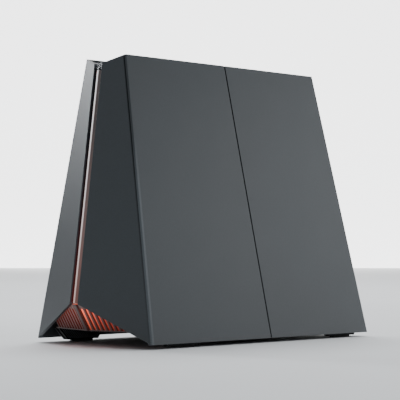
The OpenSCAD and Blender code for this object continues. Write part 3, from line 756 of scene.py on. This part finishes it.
def jack_centres():
    """Centre of each network socket at the rear face, and its outward side in X."""
    stacked_low, stacked_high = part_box("lan_jacks")
    count = 4
    step = (stacked_high.z - stacked_low.z) / count
    for i in range(count):
        yield Vector((stacked_low.x, stacked_high.y, stacked_low.z + (i + 0.5) * step)), 1
    for node in ("fast_wan_jack", "fast_lan_jack"):
        low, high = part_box(node)
        yield Vector((high.x, high.y, (low.z + high.z) / 2)), -1


def jack_contacts():
    """Eight sprung gold wires inside each network socket."""
    mesh = bmesh.new()
    wires, gap, length = 8, 1.02 * MM, 8.5 * MM
    aside, depth = 3.2 * MM, 8.6 * MM
    for centre, side in jack_centres():
        for i in range(wires):
            point = centre + Vector((side * aside, -depth, (i - (wires - 1) / 2) * gap))
            turn = Matrix.Rotation(side * math.radians(-12), 4, "Z")
            bar(mesh, (0.3 * MM, length, 0.42 * MM), Matrix.Translation(point) @ turn)
    return piece("jack_contacts", mesh, gold_contact(), 0.06 * MM)


def jack_lenses():
    """Two status lenses beside the latch slot of each network socket."""
    mesh = bmesh.new()
    aside, proud, apart = 11.4 * MM, 0.05 * MM, 5.6 * MM
    for centre, side in jack_centres():
        for up in (-1, 1):
            point = centre + Vector((side * aside, proud, up * apart))
            bar(mesh, (1.6 * MM, 0.5 * MM, 2.6 * MM), Matrix.Translation(point))
    return piece("jack_lenses", mesh, lens_plastic(), 0.2 * MM)


def board_parts(material):
    """Small surface-mounted parts scattered over both faces of the main board."""
    draw = random.Random(7)
    mesh = bmesh.new()
    low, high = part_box("main_board")
    per_face, margin = 70, 4 * MM
    rear_limit, lowest = 60 * MM, 38 * MM
    for side, face in ((1, high.x), (-1, low.x)):
        for _ in range(per_face):
            y = draw.uniform(low.y + margin, rear_limit)
            z = draw.uniform(lowest, high.z - margin)
            size = (0.7 * MM, draw.choice((1.0, 1.6, 2.4)) * MM, draw.choice((0.6, 0.9)) * MM)
            turn = Matrix.Rotation(draw.choice((0, math.pi / 2)), 4, "X")
            point = Vector((face + side * size[0] / 2, y, z))
            bar(mesh, size, Matrix.Translation(point) @ turn)
    return piece("board_parts", mesh, material, 0.08 * MM)


# ---- Studio ----


def pale_floor():
    """A large matte floor, staged."""
    bpy.ops.mesh.primitive_plane_add(size=12, location=(0, 0, 0))
    floor = bpy.context.object
    floor.name = "floor"
    material, tree, shader = new_shader("floor_paint")
    mottle(tree, shader, (0.86, 0.86, 0.86), 3, 0.01)
    shader.inputs["Roughness"].default_value = 0.9
    floor.data.materials.append(material)


def pale_backdrop():
    """A plain white panel behind the object, staged."""
    bpy.ops.mesh.primitive_plane_add(
        size=2.2,
        location=(-2.8, 2.8, 1.05),
        rotation=(math.radians(90), 0, math.radians(45)),
    )
    panel = bpy.context.object
    panel.name = "backdrop"
    material, tree, shader = new_shader("backdrop_paint")
    mottle(tree, shader, (0.9, 0.9, 0.9), 1, 0.01)
    shader.inputs["Emission Color"].default_value = (1, 1, 1, 1)
    shader.inputs["Emission Strength"].default_value = 3.0
    panel.data.materials.append(material)


def soft_light(name, location, target, width, height, power, spread=180):
    """A rectangular soft box that faces a target, with its spread in degrees."""
    data = bpy.data.lights.new(name, "AREA")
    data.shape = "RECTANGLE"
    data.size, data.size_y = width, height
    data.energy = power
    data.color = (0.94, 0.97, 1.0)
    data.spread = math.radians(spread)
    light = bpy.data.objects.new(name, data)
    light.location = location
    aim = Vector(target) - Vector(location)
    light.rotation_euler = aim.to_track_quat("-Z", "Y").to_euler()
    bpy.context.scene.collection.objects.link(light)


def studio():
    """White surroundings, dimmer on the left, with soft boxes left, behind and above."""
    world = bpy.data.worlds.new("studio")
    world.use_nodes = True
    tree = world.node_tree
    background = tree.nodes["Background"]
    direction = axes(tree, add(tree, "ShaderNodeTexCoord").outputs["Generated"])
    side = remap(tree, direction["X"], {"From Min": -0.95, "From Max": -0.45})
    sky = ramp(tree, side, [(0.0, (0.1, 0.1, 0.11)), (1.0, (0.92, 0.96, 1.0))])
    tree.links.new(sky, background.inputs["Color"])
    background.inputs["Strength"].default_value = 0.375
    bpy.context.scene.world = world
    middle = (0, 0, 0.1)
    soft_light(
        "key", (-2.2, -0.25, 0.75), (0, -0.1, 0.05),
        width=0.9, height=0.8, power=0.68, spread=14,
    )
    soft_light("fill", (1.35, 1.95, 0.75), middle, width=1.2, height=0.8, power=6.3)
    soft_light(
        "overhead", (-0.7, 0.7, 2.2), (-0.7, 0.7, 0), width=1.6, height=1.6, power=60
    )


def camera():
    """The photograph's viewpoint: low, and 45 degrees round to the right."""
    data = bpy.data.cameras.new("camera")
    data.lens, data.sensor_width = 136.43, 36
    data.clip_start, data.clip_end = 0.05, 50
    view = bpy.data.objects.new("camera", data)
    view.location = (0.8266, -0.8264, 0.0712)
    view.rotation_euler = (math.radians(91.77), 0, math.radians(45))
    bpy.context.scene.collection.objects.link(view)
    bpy.context.scene.camera = view


materials = dress_nodes()
nose_ribs(materials["inner_plastic"])
seam_gaskets(materials["inner_plastic"])
foot_mesh()
foot_rims()
jack_contacts()
jack_lenses()
board_parts(materials["chip_plastic"])
pale_floor()
pale_backdrop()
studio()
camera()
